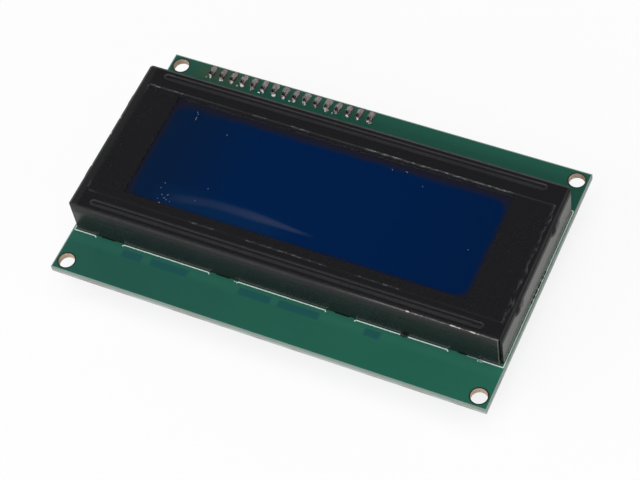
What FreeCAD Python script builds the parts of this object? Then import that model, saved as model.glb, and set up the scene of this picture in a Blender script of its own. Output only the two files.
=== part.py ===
"""Character LCD module, four rows of twenty characters, with a blue display in a pressed steel bezel.

Frame: the origin is the centre of the four mounting holes, on the board's front face.
+X runs along the board's long side, +Y towards the edge with the header, and +Z out of the display.
Lengths are in millimetres and angles in degrees.
"""

import FreeCAD, Part
import os
import Sketcher

HEADER_WAYS = 16
TABS_PER_SIDE = 4
BACKLIGHT_LEDS = 2
DRIVER_CHIPS = 3
RESISTORS = 3
CAPACITORS = 2
DOME_RINGS = 2

# Sizes that can be set one by one, each with its alias in the sheet
SIZES = {
    # printed board
    "board_length": 98.0,
    "board_width": 60.0,
    "board_thickness": 1.6,
    "mount_hole_inset": 2.5,
    "mount_hole_diameter": 3.5,
    # pressed steel bezel
    "bezel_end_gap": 0.6,
    "bezel_width": 39.3,
    "bezel_top": 9.4,
    "bezel_sheet": 0.5,
    "bend_radius": 0.9,
    "corner_gap": 0.12,
    "window_end_margin": 9.9,
    "window_side_margin": 6.5,
    "window_shift": 0.2,
    "bead_end_margin": 4.4,
    "bead_width": 1.6,
    "bead_rise": 0.35,
    "bead_inset": 2.15,
    "bump_spacing": 20.0,
    "bump_length": 4.4,
    "bump_width": 2.4,
    "bump_rise": 0.5,
    "bump_below_top": 1.9,
    "tab_end_distance": 7.9,
    "tab_width": 3.0,
    "tab_reach": 1.5,
    "tab_twist": 35.0,
    "tab_clearance": 0.15,
    # liquid crystal cell
    "glass_thickness": 1.1,
    "cell_gap": 0.1,
    "seal_width": 1.2,
    "seal_inset": 0.3,
    "glass_clearance": 0.5,
    "polarizer_thickness": 0.2,
    "polarizer_overlap": 2.0,
    "rear_polarizer_inset": 0.5,
    "elastomer_width": 2.0,
    "elastomer_side_gap": 0.3,
    "elastomer_end_inset": 4.4,
    # backlight
    "tray_end_gap": 2.9,
    "tray_wall": 1.5,
    "tray_floor": 1.5,
    "sheet_thickness": 0.2,
    "sheet_clearance": 0.2,
    "led_board_end_gap": 2.55,
    "led_board_thickness": 0.8,
    "led_board_headroom": 1.3,
    "led_length": 3.0,
    "led_depth": 1.4,
    "led_board_rim": 0.3,
    "led_lens_recess": 0.2,
    "led_rim": 0.35,
    "led_gap": 0.2,
    "lead_diameter": 0.7,
    "lead_hole_clearance": 0.15,
    "lead_spacing": 8.0,
    "lead_reach": 1.4,
    # header
    "header_pitch": 2.54,
    "header_end_distance": 10.0,
    "header_edge_distance": 2.5,
    "header_body_width": 2.5,
    "header_body_height": 2.54,
    "header_notch": 0.4,
    "pin_width": 0.64,
    "pin_rise": 1.1,
    "pin_reach": 6.0,
    "pin_point": 0.2,
    "pin_hole_clearance": 0.05,
    # solder on the header pads
    "pad_spacing": 1.04,
    "pad_front": 0.8,
    "pad_edge_gap": 0.2,
    "pad_corner": 0.35,
    "pad_thickness": 0.1,
    "solder_height": 0.85,
    "solder_wall": 0.18,
    "solder_corner": 0.2,
    # parts on the rear face
    "chip_diameter": 15.0,
    "chip_height": 1.6,
    "chip_end_distance": 20.0,
    "passive_length": 2.0,
    "passive_width": 1.25,
    "passive_height": 0.55,
    "passive_cap": 0.4,
    "passive_cap_rise": 0.06,
    "passive_pitch": 4.0,
    "passive_row": 12.5,
    # protective film on the bezel's face
    "film_end_margin": 1.75,
    "film_side_margin": 4.8,
    "film_thickness": 0.1,
    "film_shift_x": 0.35,
    "film_shift_y": -0.55,
    "film_turn": -0.3,
    "film_clipped_corner": 1.0,
}

doc = FreeCAD.newDocument("character_lcd_module")
sheet = doc.addObject("Spreadsheet::Sheet", "Sizes")


def fill_sheet():
    """Writes every size as a plain number with its alias."""
    for row, (alias, value) in enumerate(SIZES.items(), start=1):
        sheet.set(f"A{row}", alias.replace("_", " "))
        sheet.set(f"B{row}", str(value))
        sheet.setAlias(f"B{row}", alias)
    doc.recompute()


class Formulas:
    """Lengths and places worked out from the sheet, as expressions for the document."""

    hole_x = "(Sizes.board_length / 2 - Sizes.mount_hole_inset)"
    hole_y = "(Sizes.board_width / 2 - Sizes.mount_hole_inset)"
    header_x = "(Sizes.header_end_distance - Sizes.board_length / 2)"
    header_y = "(Sizes.board_width / 2 - Sizes.header_edge_distance)"
    rear_face = "(-Sizes.board_thickness)"

    bezel_length = "(Sizes.board_length - 2 * Sizes.bezel_end_gap)"
    ceiling = "(Sizes.bezel_top - Sizes.bezel_sheet)"
    inner_length = f"({bezel_length} - 2 * Sizes.bezel_sheet)"
    inner_width = "(Sizes.bezel_width - 2 * Sizes.bezel_sheet)"
    window_length = f"({bezel_length} - 2 * Sizes.window_end_margin)"
    window_width = "(Sizes.bezel_width - 2 * Sizes.window_side_margin)"
    tab_pitch = f"(({bezel_length} - 2 * Sizes.tab_end_distance) / {TABS_PER_SIDE - 1})"
    tab_y = "(Sizes.bezel_width / 2 - Sizes.bezel_sheet / 2)"
    bead_length = f"({bezel_length} - 2 * Sizes.bead_end_margin)"
    bead_y = "(Sizes.bezel_width / 2 - Sizes.bead_inset)"
    bump_z = "(Sizes.bezel_top - Sizes.bump_below_top)"
    film_length = f"({bezel_length} - 2 * Sizes.film_end_margin)"
    film_width = "(Sizes.bezel_width - 2 * Sizes.film_side_margin)"

    front_glass_length = f"({inner_length} - 2 * Sizes.glass_clearance)"
    front_glass_width = f"({inner_width} - 2 * Sizes.glass_clearance)"
    contact_ledge = "(Sizes.elastomer_width + 2 * Sizes.elastomer_side_gap)"
    rear_glass_width = f"({front_glass_width} - 2 * {contact_ledge})"
    front_glass_z = f"({ceiling} - Sizes.polarizer_thickness - Sizes.glass_thickness)"
    rear_glass_z = f"({front_glass_z} - Sizes.cell_gap - Sizes.glass_thickness)"
    rear_polarizer_z = f"({rear_glass_z} - Sizes.polarizer_thickness)"
    ledge_y = f"({front_glass_width} / 2 - {contact_ledge} / 2)"
    elastomer_length = f"({front_glass_length} - 2 * Sizes.elastomer_end_inset)"

    tray_height = rear_polarizer_z
    tray_length = f"({inner_length} - 2 * Sizes.tray_end_gap)"
    cavity_length = f"({tray_length} - 2 * Sizes.tray_wall)"
    cavity_width = f"({rear_glass_width} - 2 * Sizes.tray_wall)"
    cavity_end = f"({cavity_length} / 2)"
    lead_x = f"({cavity_end} - Sizes.lead_diameter / 2)"
    led_board_x = f"({cavity_end} - Sizes.lead_diameter - Sizes.led_board_thickness)"
    led_board_length = f"({cavity_width} - 2 * Sizes.led_board_end_gap)"
    led_board_height = f"({tray_height} - Sizes.tray_floor - Sizes.led_board_headroom)"
    led_height = f"({led_board_height} - 2 * Sizes.led_board_rim)"
    led_x = f"({led_board_x} - Sizes.led_depth)"
    guide_start = f"(-{cavity_end} + Sizes.sheet_clearance)"
    guide_length = f"({led_x} - Sizes.led_gap - {guide_start})"
    guide_width = f"({cavity_width} - 2 * Sizes.sheet_clearance)"
    guide_z = "(Sizes.tray_floor + Sizes.sheet_thickness)"
    guide_thickness = f"({tray_height} - {guide_z} - Sizes.sheet_thickness)"
    lead_hole = "(Sizes.lead_diameter + 2 * Sizes.lead_hole_clearance)"

    strip_length = f"({HEADER_WAYS} * Sizes.header_pitch)"
    strip_x = f"({header_x} + {HEADER_WAYS - 1} * Sizes.header_pitch / 2)"
    pin_length = "(Sizes.pin_rise + Sizes.board_thickness + Sizes.header_body_height + Sizes.pin_reach)"
    pin_hole = "(Sizes.pin_width * sqrt(2) + 2 * Sizes.pin_hole_clearance)"
    pad_width = "(Sizes.header_pitch - Sizes.pad_spacing)"
    pad_back = "(Sizes.header_edge_distance - Sizes.pad_edge_gap)"
    collar_width = "(Sizes.pin_width + 2 * Sizes.solder_wall)"
    chip_spacing = f"((Sizes.board_length - 2 * Sizes.chip_end_distance) / {DRIVER_CHIPS - 1})"


def number(formula):
    """The value of a formula now, as a float in millimetres or degrees."""
    value = sheet.evalExpression(formula)
    return float(getattr(value, "Value", value))


def place(piece, x="0", y="0", z="0"):
    """Ties the piece's own origin to a point given by three formulas."""
    for axis, formula in zip("xyz", (x, y, z)):
        piece.setExpression(f"Placement.Base.{axis}", formula)


def new_body(label, x="0", y="0", z="0"):
    """An empty body with its place."""
    body = doc.addObject("PartDesign::Body", label)
    body.Label = label
    place(body, x, y, z)
    return body


def origin_feature(body, role):
    """One plane or axis of the body's own origin."""
    return next(item for item in body.Origin.OriginFeatures if item.Role == role)


def new_sketch(body, name, plane="XY_Plane", height="0"):
    """A sketch on one of the body's planes, moved along its normal by a formula."""
    sketch = body.newObject("Sketcher::SketchObject", name)
    sketch.AttachmentSupport = (origin_feature(body, plane), [""])
    sketch.MapMode = "FlatFace"
    sketch.setExpression("AttachmentOffset.Base.z", height)
    return sketch


def dimension(sketch, kind, places, formula):
    """A dimension of the sketch that follows a formula."""
    index = sketch.addConstraint(Sketcher.Constraint(kind, *places, number(formula)))
    sketch.setExpression(f"Constraints[{index}]", formula)


def rectangle(sketch, length, width, x="0", y="0"):
    """A rectangle whose sides and centre follow formulas."""
    left = number(x) - number(length) / 2
    low = number(y) - number(width) / 2
    right = left + number(length)
    high = low + number(width)
    corners = [FreeCAD.Vector(*corner, 0) for corner in ((left, low), (right, low), (right, high), (left, high))]
    first = sketch.GeometryCount
    for index, corner in enumerate(corners):
        sketch.addGeometry(Part.LineSegment(corner, corners[(index + 1) % 4]), False)
    for index in range(4):
        join = Sketcher.Constraint("Coincident", first + index, 2, first + (index + 1) % 4, 1)
        sketch.addConstraint(join)
    for index, kind in enumerate(("Horizontal", "Vertical", "Horizontal", "Vertical")):
        sketch.addConstraint(Sketcher.Constraint(kind, first + index))
    dimension(sketch, "DistanceX", (first, 1, first, 2), length)
    dimension(sketch, "DistanceY", (first + 1, 1, first + 1, 2), width)
    dimension(sketch, "DistanceX", (-1, 1, first, 1), f"{x} - {length} / 2")
    dimension(sketch, "DistanceY", (-1, 1, first, 1), f"{y} - {width} / 2")


def circle(sketch, diameter, x="0", y="0"):
    """A circle whose diameter and centre follow formulas."""
    centre = FreeCAD.Vector(number(x), number(y), 0)
    index = sketch.addGeometry(Part.Circle(centre, FreeCAD.Vector(0, 0, 1), number(diameter) / 2), False)
    dimension(sketch, "Diameter", (index,), diameter)
    dimension(sketch, "DistanceX", (-1, 1, index, 3), x)
    dimension(sketch, "DistanceY", (-1, 1, index, 3), y)


def polygon(sketch, points):
    """A closed outline of straight lines whose corners follow pairs of formulas."""
    corners = [FreeCAD.Vector(number(x), number(y), 0) for x, y in points]
    first = sketch.GeometryCount
    for index, corner in enumerate(corners):
        sketch.addGeometry(Part.LineSegment(corner, corners[(index + 1) % len(corners)]), False)
    for index, (x, y) in enumerate(points):
        follower = first + (index + 1) % len(points)
        sketch.addConstraint(Sketcher.Constraint("Coincident", first + index, 2, follower, 1))
        dimension(sketch, "DistanceX", (-1, 1, first + index, 1), x)
        dimension(sketch, "DistanceY", (-1, 1, first + index, 1), y)


def clipped_rectangle(sketch, length, width, clip, y="0"):
    """A rectangle with its four corners cut off at 45 degrees, its middle on the Y axis."""
    right = f"({length} / 2)"
    points = []
    for side_x, side_y in ((-1, -1), (1, -1), (1, 1), (-1, 1)):
        flank = (f"{side_x} * {right}", f"{y} + {side_y} * ({width} / 2 - {clip})")
        end = (f"{side_x} * ({right} - {clip})", f"{y} + {side_y} * {width} / 2")
        points += [flank, end] if side_x == side_y else [end, flank]
    polygon(sketch, points)


def pad(body, sketch, length):
    """Raises the sketch along its normal."""
    feature = body.newObject("PartDesign::Pad", f"{sketch.Name}_pad")
    feature.Profile = sketch
    feature.setExpression("Length", length)
    return feature


def pocket(body, sketch, depth, upwards=False):
    """Cuts the sketch against its normal, or along it where upwards is set."""
    feature = body.newObject("PartDesign::Pocket", f"{sketch.Name}_pocket")
    feature.Profile = sketch
    feature.Reversed = upwards
    feature.setExpression("Length", depth)
    return feature


def row_of(body, feature, count, span):
    """Repeats a feature along X: count copies in all, the last one span away."""
    pattern = body.newObject("PartDesign::LinearPattern", f"{feature.Name}_row")
    pattern.Originals = [feature]
    pattern.Direction = (origin_feature(body, "X_Axis"), [""])
    pattern.Occurrences = count
    pattern.setExpression("Length", span)
    body.Tip = pattern
    return pattern


def edge_names(shape, wanted):
    """Names of the edges of a shape that pass a test."""
    return [f"Edge{index}" for index, edge in enumerate(shape.Edges, start=1) if wanted(edge)]


def edges_at_height(shape, height, tolerance=1e-4):
    """Names of the edges that lie wholly at one height."""

    def level(edge):
        box = edge.BoundBox
        return abs(box.ZMin - height) < tolerance and abs(box.ZMax - height) < tolerance

    return edge_names(shape, level)


def edge_feature(body, kind, base, names, size_name, size):
    """A fillet or a chamfer on named edges of the base."""
    feature = body.newObject(f"PartDesign::{kind}", f"{base.Name}_{kind.lower()}")
    feature.Base = (base, names)
    feature.setExpression(size_name, size)
    return feature


def box(label, size, corner):
    """A plain block with its size and its lowest corner given by formulas."""
    piece = doc.addObject("Part::Box", label)
    piece.Label = label
    for name, formula in zip(("Length", "Width", "Height"), size):
        piece.setExpression(name, formula)
    place(piece, *corner)
    return piece


def centred_box(label, length, width, height, z, x="0", y="0"):
    """A block whose middle in plan is at x, y and whose underside is at z."""
    return box(label, (length, width, height), (f"{x} - {length} / 2", f"{y} - {width} / 2", z))


def tab_places():
    """Formulas for the middle of every bezel tab, in plan."""
    for index in range(TABS_PER_SIDE):
        x = f"({index - (TABS_PER_SIDE - 1) / 2} * {Formulas.tab_pitch})"
        for side in (-1, 1):
            yield x, f"({side} * {Formulas.tab_y})", side


def lead_places():
    """Formulas for the Y of the two backlight leads."""
    return [f"({side} * Sizes.lead_spacing / 2)" for side in (-1, 1)]


def make_circuit_board():
    """Laminate board with mounting holes, header holes, bezel slots and backlight holes."""
    body = new_body("circuit_board", z=Formulas.rear_face)
    outline = new_sketch(body, "board_outline")
    rectangle(outline, "Sizes.board_length", "Sizes.board_width")
    pad(body, outline, "Sizes.board_thickness")
    top = "Sizes.board_thickness"

    mounts = new_sketch(body, "mount_holes", height=top)
    for side_x in (-1, 1):
        for side_y in (-1, 1):
            place_x, place_y = f"({side_x} * {Formulas.hole_x})", f"({side_y} * {Formulas.hole_y})"
            circle(mounts, "Sizes.mount_hole_diameter", place_x, place_y)
    pocket(body, mounts, top)

    slots = new_sketch(body, "tab_slots", height=top)
    for x, y, _ in tab_places():
        length = "(Sizes.tab_width + 2 * Sizes.tab_clearance)"
        rectangle(slots, length, "(Sizes.bezel_sheet + 2 * Sizes.tab_clearance)", x, y)
    pocket(body, slots, top)

    leads = new_sketch(body, "lead_holes", height=top)
    for y in lead_places():
        circle(leads, Formulas.lead_hole, Formulas.lead_x, y)
    pocket(body, leads, top)

    first = new_sketch(body, "header_hole", height=top)
    circle(first, Formulas.pin_hole, Formulas.header_x, Formulas.header_y)
    cut = pocket(body, first, top)
    doc.recompute()
    row_of(body, cut, HEADER_WAYS, f"{HEADER_WAYS - 1} * Sizes.header_pitch")
    return body


def crown_radius(width, rise):
    """Formula for the radius of a round ridge with this width and this rise above its face."""
    return f"({width} * {width} / 4 + {rise} * {rise}) / (2 * {rise})"


def round_ridge(body, name, radius, length, middle, along):
    """A round bar with ball ends, its axis along X or Y, sunk in the block up to its crown."""
    turn_axis = FreeCAD.Vector(0, 1, 0) if along == "X" else FreeCAD.Vector(-1, 0, 0)
    bar = body.newObject("PartDesign::AdditiveCylinder", f"{name}_bar")
    bar.setExpression("Height", length)
    balls = [body.newObject("PartDesign::AdditiveSphere", f"{name}_end") for _ in range(2)]
    for end, feature in zip((-1, -1, 1), [bar] + balls):
        feature.setExpression("Radius", radius)
        feature.Placement.Rotation = FreeCAD.Rotation(turn_axis, 90)
        centre = list(middle)
        centre["XY".index(along)] += f" + {end} * ({length}) / 2"
        place(feature, *centre)


def bezel_beads(body, inset):
    """Two long stiffening beads along the face."""
    crown = crown_radius("Sizes.bead_width", "Sizes.bead_rise")
    length = f"{Formulas.bead_length} - Sizes.bead_width"
    for side, name in ((-1, "front_bead"), (1, "back_bead")):
        middle = ("0", f"{side} * {Formulas.bead_y}", f"Sizes.bezel_top + Sizes.bead_rise - {crown}")
        round_ridge(body, name, f"{crown} - {inset}", length, middle, "X")


def bezel_bumps(body, inset):
    """Four short bumps near the top of the short walls."""
    crown = crown_radius("Sizes.bump_width", "Sizes.bump_rise")
    length = "Sizes.bump_length - Sizes.bump_width"
    for side_x in (-1, 1):
        x = f"{side_x} * ({Formulas.bezel_length} / 2 + Sizes.bump_rise - {crown})"
        for side_y in (-1, 1):
            middle = (x, f"{side_y} * Sizes.bump_spacing / 2", Formulas.bump_z)
            round_ridge(body, "bump", f"{crown} - {inset}", length, middle, "Y")


def bezel_form(label, inset):
    """Solid block with the form of the pressing's faces, all of them moved inwards by an inset."""
    body = new_body(label)
    outline = new_sketch(body, f"{label}_outline")
    rectangle(outline, f"({Formulas.bezel_length} - 2 * {inset})", f"(Sizes.bezel_width - 2 * {inset})")
    height = f"Sizes.bezel_top - {inset}"
    block = pad(body, outline, height)
    doc.recompute()
    names = edges_at_height(block.Shape, number(height))
    edge_feature(body, "Fillet", block, names, "Radius", f"Sizes.bend_radius - {inset}")
    bezel_beads(body, inset)
    bezel_bumps(body, inset)
    return body


def bezel_tabs():
    """Tabs that pass through the board and are twisted behind it to clamp the display."""
    tabs = []
    for index, (x, y, side) in enumerate(tab_places(), start=1):
        neck = "(Sizes.board_thickness + Sizes.tab_clearance)"
        through = centred_box(
            f"tab_neck_{index}", "Sizes.tab_width", "Sizes.bezel_sheet", neck, f"-{neck}", x, y
        )
        twisted = doc.addObject("Part::Box", f"tab_end_{index}")
        twisted.setExpression("Length", "Sizes.tab_width")
        twisted.setExpression("Width", "Sizes.bezel_sheet")
        twisted.setExpression("Height", "Sizes.tab_reach")
        angle = f"({side} * Sizes.tab_twist)"
        half_length, half_width = "Sizes.tab_width / 2", "Sizes.bezel_sheet / 2"
        corner_x = f"{x} - {half_length} * cos({angle}) + {half_width} * sin({angle})"
        corner_y = f"{y} - {half_length} * sin({angle}) - {half_width} * cos({angle})"
        twisted.Placement.Rotation = FreeCAD.Rotation(FreeCAD.Vector(0, 0, 1), 0)
        twisted.setExpression("Placement.Rotation.Angle", angle)
        place(twisted, corner_x, corner_y, f"-{neck} - Sizes.tab_reach")
        tabs += [through, twisted]
    return tabs


def make_bezel():
    """Pressed steel bezel: shell, window, open corners, beads, bumps and clamping tabs."""
    body = bezel_form("bezel_pressing", "0")
    hollow = body.newObject("PartDesign::Boolean", "bezel_hollow")
    hollow.Type = "Cut"
    hollow.setObjects([bezel_form("bezel_inside", "Sizes.bezel_sheet")])
    body.Tip = hollow
    window = new_sketch(body, "window", height="Sizes.bezel_top")
    rectangle(window, Formulas.window_length, Formulas.window_width, "0", "Sizes.window_shift")
    pocket(body, window, "Sizes.bezel_sheet")
    notches = new_sketch(body, "corner_notches", height="Sizes.bezel_top")
    cut = "(2 * (Sizes.bezel_sheet + Sizes.corner_gap))"
    for side_x in (-1, 1):
        for side_y in (-1, 1):
            corner_x, corner_y = f"({side_x} * {Formulas.bezel_length} / 2)", f"({side_y} * Sizes.bezel_width / 2)"
            rectangle(notches, cut, cut, corner_x, corner_y)
    pocket(body, notches, "Sizes.bezel_top")
    doc.recompute()
    bezel = doc.addObject("Part::MultiFuse", "bezel")
    bezel.Label = "bezel"
    bezel.Shapes = [body] + bezel_tabs()
    return bezel


def make_protective_film():
    """Thin clear film left on the bezel's face, with one corner clipped."""
    body = new_body("protective_film", "Sizes.film_shift_x", "Sizes.film_shift_y", "Sizes.bezel_top")
    body.setExpression("Placement.Rotation.Angle", "Sizes.film_turn")
    outline = new_sketch(body, "film_outline")
    right, back = f"({Formulas.film_length} / 2)", f"({Formulas.film_width} / 2)"
    clip = "Sizes.film_clipped_corner"
    corner = [(f"-{right} + {clip}", f"-{back}"), (right, f"-{back}"), (right, back)]
    polygon(outline, corner + [(f"-{right}", back), (f"-{right}", f"-{back} + {clip}")])
    pad(body, outline, "Sizes.film_thickness")
    return body


def make_front_polarizer():
    """Film on the front glass that the bezel's face presses on."""
    length = f"({Formulas.window_length} + 2 * Sizes.polarizer_overlap)"
    width = f"({Formulas.window_width} + 2 * Sizes.polarizer_overlap)"
    z = f"({Formulas.ceiling} - Sizes.polarizer_thickness)"
    return centred_box(
        "front_polarizer", length, width, "Sizes.polarizer_thickness", z, "0", "Sizes.window_shift"
    )


def make_front_glass():
    """Front plate, wider than the rear one so that its edges carry the contacts."""
    size = (Formulas.front_glass_length, Formulas.front_glass_width, "Sizes.glass_thickness")
    return centred_box("front_glass", *size, Formulas.front_glass_z)


def make_rear_glass():
    """Rear plate of the cell."""
    size = (Formulas.front_glass_length, Formulas.rear_glass_width, "Sizes.glass_thickness")
    return centred_box("rear_glass", *size, Formulas.rear_glass_z)


def make_glass_seal():
    """Ring of sealant that joins the two plates and keeps the liquid crystal in."""
    body = new_body("glass_seal", z=f"{Formulas.front_glass_z} - Sizes.cell_gap")
    ring = new_sketch(body, "seal_ring")
    length = f"({Formulas.front_glass_length} - 2 * Sizes.seal_inset)"
    width = f"({Formulas.rear_glass_width} - 2 * Sizes.seal_inset)"
    rectangle(ring, length, width)
    rectangle(ring, f"({length} - 2 * Sizes.seal_width)", f"({width} - 2 * Sizes.seal_width)")
    pad(body, ring, "Sizes.cell_gap")
    return body


def make_rear_polarizer():
    """Film under the rear glass."""
    length = f"({Formulas.front_glass_length} - 2 * Sizes.rear_polarizer_inset)"
    width = f"({Formulas.rear_glass_width} - 2 * Sizes.rear_polarizer_inset)"
    return centred_box(
        "rear_polarizer", length, width, "Sizes.polarizer_thickness", Formulas.rear_polarizer_z
    )


def make_elastomers():
    """Two striped rubber strips that join the glass contacts to the board."""
    strips = []
    for name, side in (("elastomer_front", -1), ("elastomer_back", 1)):
        y = f"({side} * {Formulas.ledge_y})"
        size = (Formulas.elastomer_length, "Sizes.elastomer_width", Formulas.front_glass_z)
        strips.append(centred_box(name, *size, "0", "0", y))
    return strips


def make_backlight_frame():
    """White moulded tray that stands on the board and carries the cell."""
    body = new_body("backlight_frame")
    outline = new_sketch(body, "tray_outline")
    rectangle(outline, Formulas.tray_length, Formulas.rear_glass_width)
    pad(body, outline, Formulas.tray_height)
    cavity = new_sketch(body, "tray_cavity", height=Formulas.tray_height)
    rectangle(cavity, Formulas.cavity_length, Formulas.cavity_width)
    pocket(body, cavity, f"{Formulas.tray_height} - Sizes.tray_floor")
    leads = new_sketch(body, "tray_lead_holes", height="Sizes.tray_floor")
    for y in lead_places():
        inside = f"({Formulas.cavity_end} - {Formulas.lead_hole} / 2)"
        rectangle(leads, Formulas.lead_hole, Formulas.lead_hole, inside, y)
    pocket(body, leads, "Sizes.tray_floor")
    return body


def make_light_sheets():
    """Reflector, clear light guide and diffuser, stacked in the tray."""
    middle = f"({Formulas.guide_start} + {Formulas.guide_length} / 2)"
    plan = (Formulas.guide_length, Formulas.guide_width)
    top = f"({Formulas.guide_z} + {Formulas.guide_thickness})"
    return [
        centred_box("reflector_sheet", *plan, "Sizes.sheet_thickness", "Sizes.tray_floor", middle),
        centred_box("light_guide", *plan, Formulas.guide_thickness, Formulas.guide_z, middle),
        centred_box("diffuser_sheet", *plan, "Sizes.sheet_thickness", top, middle),
    ]


def make_backlight_board():
    """Upright strip that carries the light sources at the right-hand end of the tray."""
    size = ("Sizes.led_board_thickness", Formulas.led_board_length, Formulas.led_board_height)
    corner = (Formulas.led_board_x, f"-{Formulas.led_board_length} / 2", "Sizes.tray_floor")
    return box("backlight_board", size, corner)


def make_backlight_leds():
    """Side-firing light sources, each with a shallow recess over its lens."""
    leds = []
    for index in range(BACKLIGHT_LEDS):
        y = f"({index - (BACKLIGHT_LEDS - 1) / 2} * {Formulas.led_board_length} / {BACKLIGHT_LEDS})"
        rise = "(Sizes.tray_floor + Sizes.led_board_rim)"
        body = new_body(f"backlight_led_{index + 1}", Formulas.led_x, y, rise)
        outline = new_sketch(body, "led_outline")
        rectangle(outline, "Sizes.led_depth", "Sizes.led_length", "Sizes.led_depth / 2")
        pad(body, outline, Formulas.led_height)
        lens = new_sketch(body, "led_lens", "YZ_Plane")
        inner_length = "(Sizes.led_length - 2 * Sizes.led_rim)"
        inner_height = f"({Formulas.led_height} - 2 * Sizes.led_rim)"
        rectangle(lens, inner_length, inner_height, "0", f"{Formulas.led_height} / 2")
        pocket(body, lens, "Sizes.led_lens_recess", upwards=True)
        leds.append(body)
    return leds


def make_backlight_leads():
    """Two wire leads from the light board down through tray and board."""
    leads = []
    for index, y in enumerate(lead_places(), start=1):
        lead = doc.addObject("Part::Cylinder", f"backlight_lead_{index}")
        lead.Label = f"backlight_lead_{index}"
        lead.setExpression("Radius", "Sizes.lead_diameter / 2")
        top = f"(Sizes.tray_floor + {Formulas.led_board_height})"
        lead.setExpression("Height", f"{top} + Sizes.board_thickness + Sizes.lead_reach")
        place(lead, Formulas.lead_x, y, f"{Formulas.rear_face} - Sizes.lead_reach")
        leads.append(lead)
    return leads


def make_header_strip():
    """Moulded strip under the board, notched between ways and open for every pin."""
    body = new_body("header_strip", Formulas.strip_x, Formulas.header_y, Formulas.rear_face)
    outline = new_sketch(body, "strip_outline", height="-Sizes.header_body_height")
    rectangle(outline, Formulas.strip_length, "Sizes.header_body_width")
    pad(body, outline, "Sizes.header_body_height")
    first_way = f"(-{HEADER_WAYS - 1} * Sizes.header_pitch / 2)"

    hole = new_sketch(body, "pin_hole")
    rectangle(hole, "Sizes.pin_width", "Sizes.pin_width", first_way)
    cut = pocket(body, hole, "Sizes.header_body_height")
    doc.recompute()
    row_of(body, cut, HEADER_WAYS, f"{HEADER_WAYS - 1} * Sizes.header_pitch")

    notch = new_sketch(body, "way_notches")
    between = f"({first_way} + Sizes.header_pitch / 2)"
    for side in (-1, 1):
        y = f"({side} * Sizes.header_body_width / 2)"
        rectangle(notch, "(2 * Sizes.header_notch)", "(2 * Sizes.header_notch)", between, y)
    cut = pocket(body, notch, "Sizes.header_body_height")
    doc.recompute()
    row_of(body, cut, HEADER_WAYS - 1, f"{HEADER_WAYS - 2} * Sizes.header_pitch")
    return body


def header_place(index):
    """Formula for the X of one header way."""
    return f"({Formulas.header_x} + {index} * Sizes.header_pitch)"


def make_header_pin(index):
    """Square pin with pointed ends, pressed through the strip."""
    bottom = f"(Sizes.pin_rise - {Formulas.pin_length})"
    body = new_body(f"header_pin_{index + 1:02d}", header_place(index), Formulas.header_y, bottom)
    section = new_sketch(body, "pin_section")
    rectangle(section, "Sizes.pin_width", "Sizes.pin_width")
    shaft = pad(body, section, Formulas.pin_length)
    doc.recompute()
    names = edges_at_height(shaft.Shape, 0.0)
    names += edges_at_height(shaft.Shape, number(Formulas.pin_length))
    edge_feature(body, "Chamfer", shaft, names, "Size", "Sizes.pin_point")
    return body


def make_solder_joint(index):
    """Tinned pad that runs back to the board's edge, with a fillet of solder up the pin."""
    body = new_body(f"solder_joint_{index + 1:02d}", header_place(index), Formulas.header_y)
    plan = (Formulas.pad_width, f"(Sizes.pad_front + {Formulas.pad_back})", "Sizes.pad_corner")
    middle = f"({Formulas.pad_back} - Sizes.pad_front) / 2"
    base = new_sketch(body, "pad_base")
    clipped_rectangle(base, *plan, middle)
    pad(body, base, "Sizes.pad_thickness")
    foot = new_sketch(body, "fillet_foot", height="Sizes.pad_thickness")
    clipped_rectangle(foot, *plan, middle)
    collar = new_sketch(body, "fillet_collar", height="Sizes.solder_height")
    clipped_rectangle(collar, Formulas.collar_width, Formulas.collar_width, "Sizes.solder_corner")
    fillet = body.newObject("PartDesign::AdditiveLoft", "solder_fillet")
    fillet.Profile = foot
    fillet.Sections = [collar]
    fillet.Ruled = True
    doc.recompute()
    hole = new_sketch(body, "pin_way")
    rectangle(hole, "Sizes.pin_width", "Sizes.pin_width")
    pocket(body, hole, "Sizes.solder_height", upwards=True)
    return body


def dome_outline():
    """Half of a dome's section: a flat foot, straight steps round an ellipse, then a flat crown."""
    radius, height = "Sizes.chip_diameter / 2", "Sizes.chip_height"
    points = [("0", "0"), (radius, "0")]
    angles = [90 * step / (DOME_RINGS + 1) for step in range(1, DOME_RINGS + 1)]
    for angle in angles:
        points.append((f"{radius} * cos({angle})", f"{height} * sin({angle}) / sin({angles[-1]})"))
    return points + [("0", height)]


def make_chip(index):
    """Driver chip under a dome of black epoxy on the rear face."""
    place_x = f"({index - (DRIVER_CHIPS - 1) / 2} * {Formulas.chip_spacing})"
    body = new_body(f"driver_chip_{index + 1}", place_x, "0", Formulas.rear_face)
    body.Placement.Rotation = FreeCAD.Rotation(FreeCAD.Vector(1, 0, 0), 180)
    section = new_sketch(body, "dome_section", "XZ_Plane")
    polygon(section, dome_outline())
    turned = body.newObject("PartDesign::Revolution", "dome")
    turned.Profile = section
    turned.ReferenceAxis = (section, ["V_Axis"])
    turned.Angle = 360
    return body


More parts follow.
